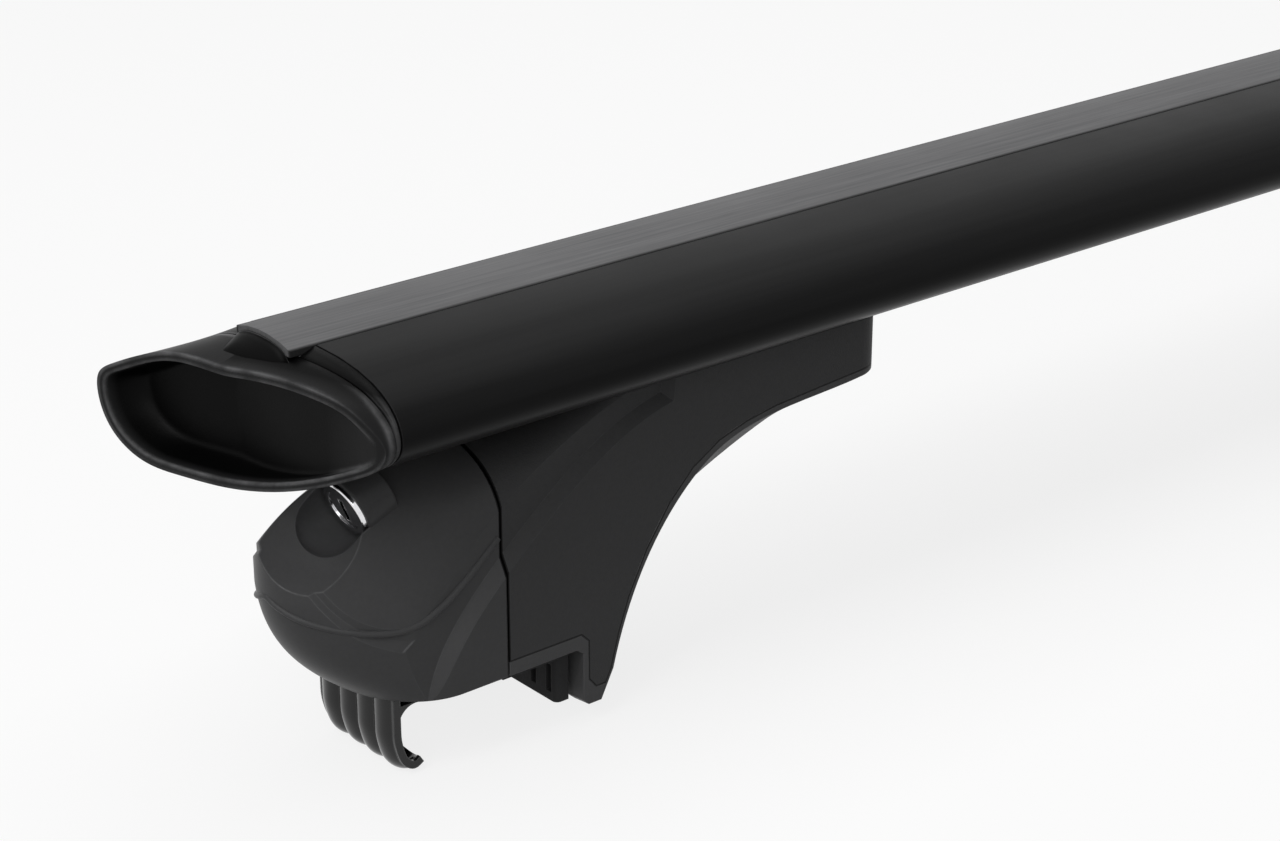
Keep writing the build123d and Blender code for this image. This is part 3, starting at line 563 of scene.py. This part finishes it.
def make_cover_ridge(side, material):
    """Slim rounded ridge where the cover's dome meets its lower wall, thinner round the tip."""
    name = side + "_cover_ridge"
    data = bpy.data.curves.new(name, "CURVE")
    data.dimensions = "3D"
    data.bevel_depth = RIDGE_RADIUS * MM
    data.bevel_resolution = 4
    data.resolution_u = 12
    data.use_fill_caps = True
    line = data.splines.new("NURBS")
    near = [(x, -y, z) for x, y, z in reversed(RIDGE)]
    points = near + list(RIDGE[1:])
    line.points.add(len(points) - 1)
    for point, place in zip(line.points, points):
        point.co = (*at_end(side, *place), 1)
        point.radius = 1.0 if place[0] > 0 else RIDGE_TIP
    line.order_u = 3
    line.use_endpoint_u = True
    ridge = new_object(name, data)
    data.materials.append(material)
    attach(ridge, side + "_cover")


# Stage. A pair of grey levels is for soft bounces and for what is seen directly.
FLOOR_HALF = 6.0
FLOOR_GREYS = (0.22, 0.94)
FLOOR_ROUGHNESS = 0.9
WHITE_VEIL = 0.82
WORLD_GREYS = (0.13, 1.0)


def seen_directly(tree):
    """1 for what the camera, gloss and glass see, 0 for soft bounces."""
    path = tree.nodes.new("ShaderNodeLightPath")
    shine = combined(tree, "MAXIMUM", path.outputs["Is Glossy Ray"], path.outputs["Is Transmission Ray"])
    return combined(tree, "MAXIMUM", path.outputs["Is Camera Ray"], shine)


def by_view(tree, greys):
    """Grey that differs between soft bounces and what is seen directly."""
    bounced, seen = ((level, level, level) for level in greys)
    return mixed(tree, seen_directly(tree), bounced, seen)


def floor_material():
    """Floor that looks white and keeps the shadow."""
    material = bpy.data.materials.new("pale floor")
    material.use_nodes = True
    tree = material.node_tree
    shader = tree.nodes["Principled BSDF"]
    shader.inputs["Roughness"].default_value = FLOOR_ROUGHNESS
    shader.inputs["Specular IOR Level"].default_value = 0.0
    tree.links.new(by_view(tree, FLOOR_GREYS), shader.inputs["Base Color"])
    white = tree.nodes.new("ShaderNodeEmission")
    veil = combined(tree, "MULTIPLY", seen_directly(tree), WHITE_VEIL)
    blend = tree.nodes.new("ShaderNodeMixShader")
    tree.links.new(veil, blend.inputs["Fac"])
    tree.links.new(shader.outputs["BSDF"], blend.inputs[1])
    tree.links.new(white.outputs["Emission"], blend.inputs[2])
    tree.links.new(blend.outputs["Shader"], tree.nodes["Material Output"].inputs["Surface"])
    return material


def make_stage():
    mesh = bpy.data.meshes.new("floor")
    shape = bmesh.new()
    bmesh.ops.create_grid(shape, x_segments=1, y_segments=1, size=FLOOR_HALF)
    shape.to_mesh(mesh)
    shape.free()
    floor = new_object("floor", mesh)
    mesh.materials.append(floor_material())


# Light: where each softbox stands, what it aims at, its width and height in metres, and its watts
SOFTBOXES = {
    "top softbox": ((-0.3, 0.1, 1.6), (-0.3, 0, 0.08), (2.2, 1.4), 17),
    "near softbox": ((-1.5, -1.3, 0.9), (-0.45, 0, 0.07), (1.2, 0.9), 6),
    "front softbox": ((-1.7, -0.35, 1.35), (-0.57, 0, 0.05), (0.8, 0.8), 10),
}


def make_light():
    """Softboxes and a world that looks white and lights softly."""
    for name, (place, aim, size, power) in SOFTBOXES.items():
        data = bpy.data.lights.new(name, "AREA")
        data.shape = "RECTANGLE"
        data.size = size[0]
        data.size_y = size[1]
        data.energy = power
        lamp = new_object(name, data)
        lamp.location = place
        lamp.rotation_euler = (Vector(aim) - Vector(place)).to_track_quat("-Z", "Y").to_euler()
    world = bpy.data.worlds.new("studio")
    bpy.context.scene.world = world
    world.use_nodes = True
    tree = world.node_tree
    tree.links.new(by_view(tree, WORLD_GREYS), tree.nodes["Background"].inputs["Color"])
    bpy.context.scene.view_settings.view_transform = "Standard"


make_camera()
finishes = make_materials()
dress_nodes(finishes)
for side in SIDES:
    make_cap_hump(side, finishes["end_cap"])
    make_lock_surround(side, finishes["cover"])
    make_cover_ridge(side, finishes["cover"])
make_stage()
make_light()
